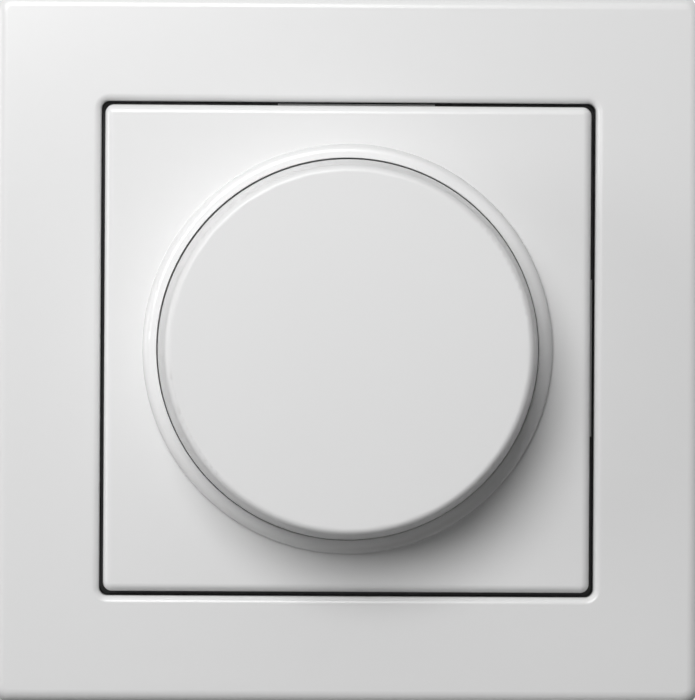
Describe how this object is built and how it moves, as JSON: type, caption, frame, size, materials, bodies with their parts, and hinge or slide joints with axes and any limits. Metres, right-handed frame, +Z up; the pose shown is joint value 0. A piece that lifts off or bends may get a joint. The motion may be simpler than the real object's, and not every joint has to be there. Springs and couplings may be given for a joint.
{
  "type": "rotary dimmer switch",
  "caption": "Square flush-mounted rotary dimmer switch: cover frame, centre plate with a raised collar, large plain knob that turns and presses, steel support frame, housing and box claws.",
  "frame": {"origin": "on the knob's axis, in the wall plane on which the support frame and the cover frame lie", "axes": "+X to the right seen from the front, +Y into the wall along the knob's axis, +Z up; the front faces -Y"},
  "size_m": [0.0804, 0.0448, 0.0804],
  "materials": {
    "frame_gloss": "glossy white moulded plastic",
    "knob_satin": "white moulded plastic with a fine satin grain",
    "housing_plastic": "pale grey moulded plastic",
    "insulating_board": "dark grey moulded plastic",
    "zinc_steel": "bright zinc plate on steel",
    "spring_steel": "dark spring steel",
    "brass": "plain brass",
    "circuit_laminate": "green lacquer on laminate",
    "carbon_track": "carbon film on laminate",
    "silicone_pad": "thin grey silicone",
    "moulded_epoxy": "black moulded epoxy with a tinned tab",
    "ferrite": "dark grey ferrite",
    "enamelled_copper": "enamelled copper wire",
    "capacitor_case": "yellow moulded case",
    "resistor_coat": "tan lacquer",
    "diode_glass": "small glass body",
    "fuse_glass": "glass tube with plated caps"
  },
  "bodies": {
    "root": {"cover_frame": "frame_gloss", "centre_plate": "frame_gloss", "plate_nut": "zinc_steel", "bushing": "brass", "bushing_nut": "zinc_steel", "support_frame": "zinc_steel", "insulating_cover": "insulating_board", "housing_base": "housing_plastic", "housing_screws": "zinc_steel", "pot_housing": "insulating_board", "resistor_track": "carbon_track", "pot_terminals": "brass", "circuit_board": "circuit_laminate", "switch_body": "housing_plastic", "switch_terminals": "brass", "return_spring": "spring_steel", "thermal_pad": "silicone_pad", "triac": "moulded_epoxy", "triac_screw": "zinc_steel", "triac_nut": "zinc_steel", "choke_core": "ferrite", "choke_winding": "enamelled_copper", "suppression_capacitor": "capacitor_case", "timing_capacitor": "capacitor_case", "resistor_1": "resistor_coat", "resistor_2": "resistor_coat", "resistor_3": "resistor_coat", "diac": "diode_glass", "fuse": "fuse_glass", "fuse_clip_1": "brass", "fuse_clip_2": "brass", "terminal_clamp_1": "brass", "terminal_clamp_2": "brass", "terminal_clamp_3": "brass", "terminal_screws": "zinc_steel"},
    "push_unit": {"switch_slider": "insulating_board", "switch_contact": "brass"},
    "knob_unit": {"knob": "knob_satin", "knob_clip": "spring_steel", "shaft": "brass", "shaft_ring": "spring_steel"},
    "wiper_unit": {"wiper_rotor": "insulating_board", "wiper_contact": "brass"},
    "right_screw": {"claw_screw_right": "zinc_steel"},
    "right_nut": {"claw_nut_right": "zinc_steel"},
    "right_claw": {"claw_right": "zinc_steel"},
    "left_screw": {"claw_screw_left": "zinc_steel"},
    "left_nut": {"claw_nut_left": "zinc_steel"},
    "left_claw": {"claw_left": "zinc_steel"}
  },
  "joints": [
    {"name": "knob_push", "type": "slide", "parent": "root", "child": "push_unit", "axis": [0, 1, 0], "range_m": [0, 0.0015], "stiffness_N_per_m": 1000, "springref_m": -0.0015, "deforming": ["return_spring"]},
    {"name": "knob_turn", "type": "hinge", "parent": "push_unit", "child": "knob_unit", "pos_m": [0, 0, 0], "axis": [0, 1, 0], "range_deg": [0, 300]},
    {"name": "wiper_turn", "type": "hinge", "parent": "root", "child": "wiper_unit", "pos_m": [0, 0.005, 0], "axis": [0, 1, 0], "range_deg": [0, 300]},
    {"name": "claw_nut_climb_right", "type": "slide", "parent": "root", "child": "right_nut", "axis": [0, -1, 0], "range_m": [0, 0.00141]},
    {"name": "claw_screw_turn_right", "type": "hinge", "parent": "root", "child": "right_screw", "pos_m": [0.0244, 0, 0], "axis": [0, 1, 0], "range_deg": [0, 1015.25]},
    {"name": "claw_swing_right", "type": "hinge", "parent": "root", "child": "right_claw", "pos_m": [0.0208, 0.0036, 0], "axis": [0, 0, -1], "range_deg": [0, 25.01]},
    {"name": "claw_nut_climb_left", "type": "slide", "parent": "root", "child": "left_nut", "axis": [0, -1, 0], "range_m": [0, 0.00141]},
    {"name": "claw_screw_turn_left", "type": "hinge", "parent": "root", "child": "left_screw", "pos_m": [-0.0244, 0, 0], "axis": [0, 1, 0], "range_deg": [0, 1015.25]},
    {"name": "claw_swing_left", "type": "hinge", "parent": "root", "child": "left_claw", "pos_m": [-0.0208, 0.0036, 0], "axis": [0, 0, 1], "range_deg": [0, 25.01]}
  ],
  "couplings": [
    {"joint": "wiper_turn", "follows": "knob_turn", "ratio": 1},
    {"joint": "claw_screw_turn_right", "follows": "claw_nut_climb_right", "rad_per_m": 12566},
    {"joint": "claw_swing_right", "follows": "claw_nut_climb_right", "rad_per_m": 309.46},
    {"joint": "claw_screw_turn_left", "follows": "claw_nut_climb_left", "rad_per_m": 12566},
    {"joint": "claw_swing_left", "follows": "claw_nut_climb_left", "rad_per_m": 309.46}
  ]
}
